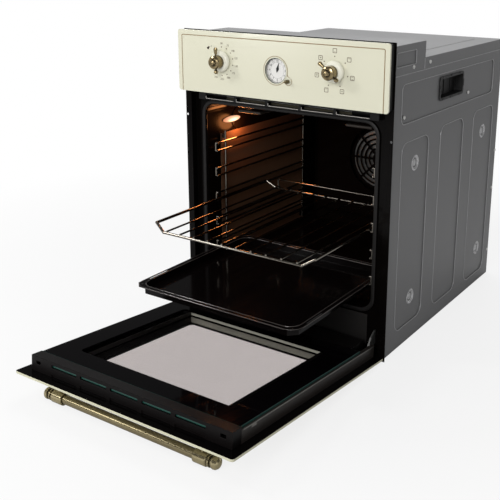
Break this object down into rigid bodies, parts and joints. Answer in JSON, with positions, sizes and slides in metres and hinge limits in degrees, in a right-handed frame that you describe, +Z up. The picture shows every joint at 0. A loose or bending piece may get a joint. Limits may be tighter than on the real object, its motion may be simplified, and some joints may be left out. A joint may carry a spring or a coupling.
{
  "type": "built-in oven",
  "caption": "Built-in oven with an open drop-down door, pulled-out wire shelf and baking tray, round clock, two lever knobs and a bar handle.",
  "frame": {"origin": "middle of the underside of the casing", "axes": "+Y from the door to the back, +X to the right seen from the front, +Z up"},
  "size_m": [0.46, 1.024, 0.586],
  "materials": {
    "casing_paint": "satin",
    "black_enamel": "gloss",
    "cream_enamel": "gloss",
    "cavity_enamel": "gloss",
    "inlay_print": "satin",
    "black_plastic": "matte",
    "steel": "satin",
    "chrome_wire": "gloss",
    "antique_brass": "brushed",
    "clear_glass": "gloss",
    "black_glass": "gloss",
    "cream_glass": "gloss",
    "lamp_glass": "gloss",
    "seal_rubber": "matte",
    "mineral_wool": "matte",
    "white_dial": "matte",
    "black_paint": "satin",
    "cream_plastic": "gloss",
    "lens_plastic": "gloss",
    "element_steel": "satin"
  },
  "bodies": {
    "oven": {"base_plate": "casing_paint", "side_panel_left": "casing_paint", "side_panel_right": "casing_paint", "back_panel": "casing_paint", "head_cover": "casing_paint", "rear_cover": "casing_paint", "front_frame": "black_enamel", "vent_strip": "black_plastic", "control_panel": "cream_enamel", "panel_inlay": "inlay_print", "panel_backing": "black_plastic", "cavity": "cavity_enamel", "fan_baffle": "cavity_enamel", "convection_motor": "steel", "ring_element": "element_steel", "grill_element": "element_steel", "bottom_element": "element_steel", "insulation": "mineral_wool", "oven_lamp": "steel", "lamp_lens": "lamp_glass", "gasket": "seal_rubber", "ladder_left": "chrome_wire", "ladder_right": "chrome_wire", "ladder_nuts": "steel", "air_duct": "steel", "cooling_fan_housing": "steel", "cooling_fan_motor": "steel", "thermostat": "steel", "thermostat_bulb": "steel", "selector_switch": "steel", "clock_case": "steel", "clock_dial": "white_dial", "clock_glass": "clear_glass", "indicator_lens": "lens_plastic", "carry_handle_left": "black_plastic", "carry_handle_right": "black_plastic", "terminal_block": "black_plastic", "hinge_claws": "steel"},
    "door": {"door_outer_glass": "cream_glass", "door_middle_glass": "clear_glass", "door_inner_glass": "black_glass", "door_profile_left": "steel", "door_profile_right": "steel", "door_top_strip": "black_plastic", "door_bottom_rail": "black_plastic", "hinge_channels": "steel", "hinge_pins": "steel", "handle_bar": "antique_brass", "handle_ends": "antique_brass"},
    "shelf": {"wire_shelf": "chrome_wire"},
    "tray": {"baking_tray": "black_enamel"},
    "thermostat_control": {"thermostat_knob": "cream_plastic", "thermostat_lever": "antique_brass"},
    "selector_control": {"selector_knob": "cream_plastic", "selector_lever": "antique_brass"},
    "clock_setter": {"clock_setting_knob": "antique_brass"},
    "minute_pointer": {"minute_hand": "black_paint"},
    "hour_pointer": {"hour_hand": "black_paint"},
    "hot_air_rotor": {"convection_fan": "steel"},
    "cooling_rotor": {"cooling_fan_rotor": "steel"}
  },
  "joints": [
    {"name": "door_hinge", "type": "hinge", "parent": "oven", "child": "door", "pos_m": [0, -0.283, 0.015], "axis": [1, 0, 0], "range_deg": [-84.84, 0]},
    {"name": "shelf_slide", "type": "slide", "parent": "oven", "child": "shelf", "axis": [0, 1, 0], "range_m": [0, 0.1872]},
    {"name": "tray_slide", "type": "slide", "parent": "oven", "child": "tray", "axis": [0, 1, 0], "range_m": [0, 0.2812]},
    {"name": "thermostat_turn", "type": "hinge", "parent": "oven", "child": "thermostat_control", "pos_m": [-0.123, -0.291, 0.531], "axis": [0, 1, 0], "range_deg": [0, 300]},
    {"name": "selector_turn", "type": "hinge", "parent": "oven", "child": "selector_control", "pos_m": [0.123, -0.291, 0.531], "axis": [0, 1, 0], "continuous": true},
    {"name": "clock_set_turn", "type": "hinge", "parent": "oven", "child": "clock_setter", "pos_m": [0.0275, -0.291, 0.506], "axis": [0, 1, 0], "continuous": true},
    {"name": "minute_hand_turn", "type": "hinge", "parent": "oven", "child": "minute_pointer", "pos_m": [0, -0.287, 0.523], "axis": [0, 1, 0], "continuous": true},
    {"name": "hour_hand_turn", "type": "hinge", "parent": "oven", "child": "hour_pointer", "pos_m": [0, -0.287, 0.523], "axis": [0, 1, 0], "continuous": true},
    {"name": "hot_air_spin", "type": "hinge", "parent": "oven", "child": "hot_air_rotor", "pos_m": [0, 0.15, 0.27], "axis": [0, 1, 0], "continuous": true},
    {"name": "cooling_spin", "type": "hinge", "parent": "oven", "child": "cooling_rotor", "pos_m": [0, 0.09, 0.49], "axis": [0, 0, 1], "continuous": true}
  ],
  "couplings": [
    {"joint": "shelf_slide", "follows": "door_hinge", "m_per_rad": -0.12629},
    {"joint": "tray_slide", "follows": "door_hinge", "m_per_rad": -0.18977}
  ]
}
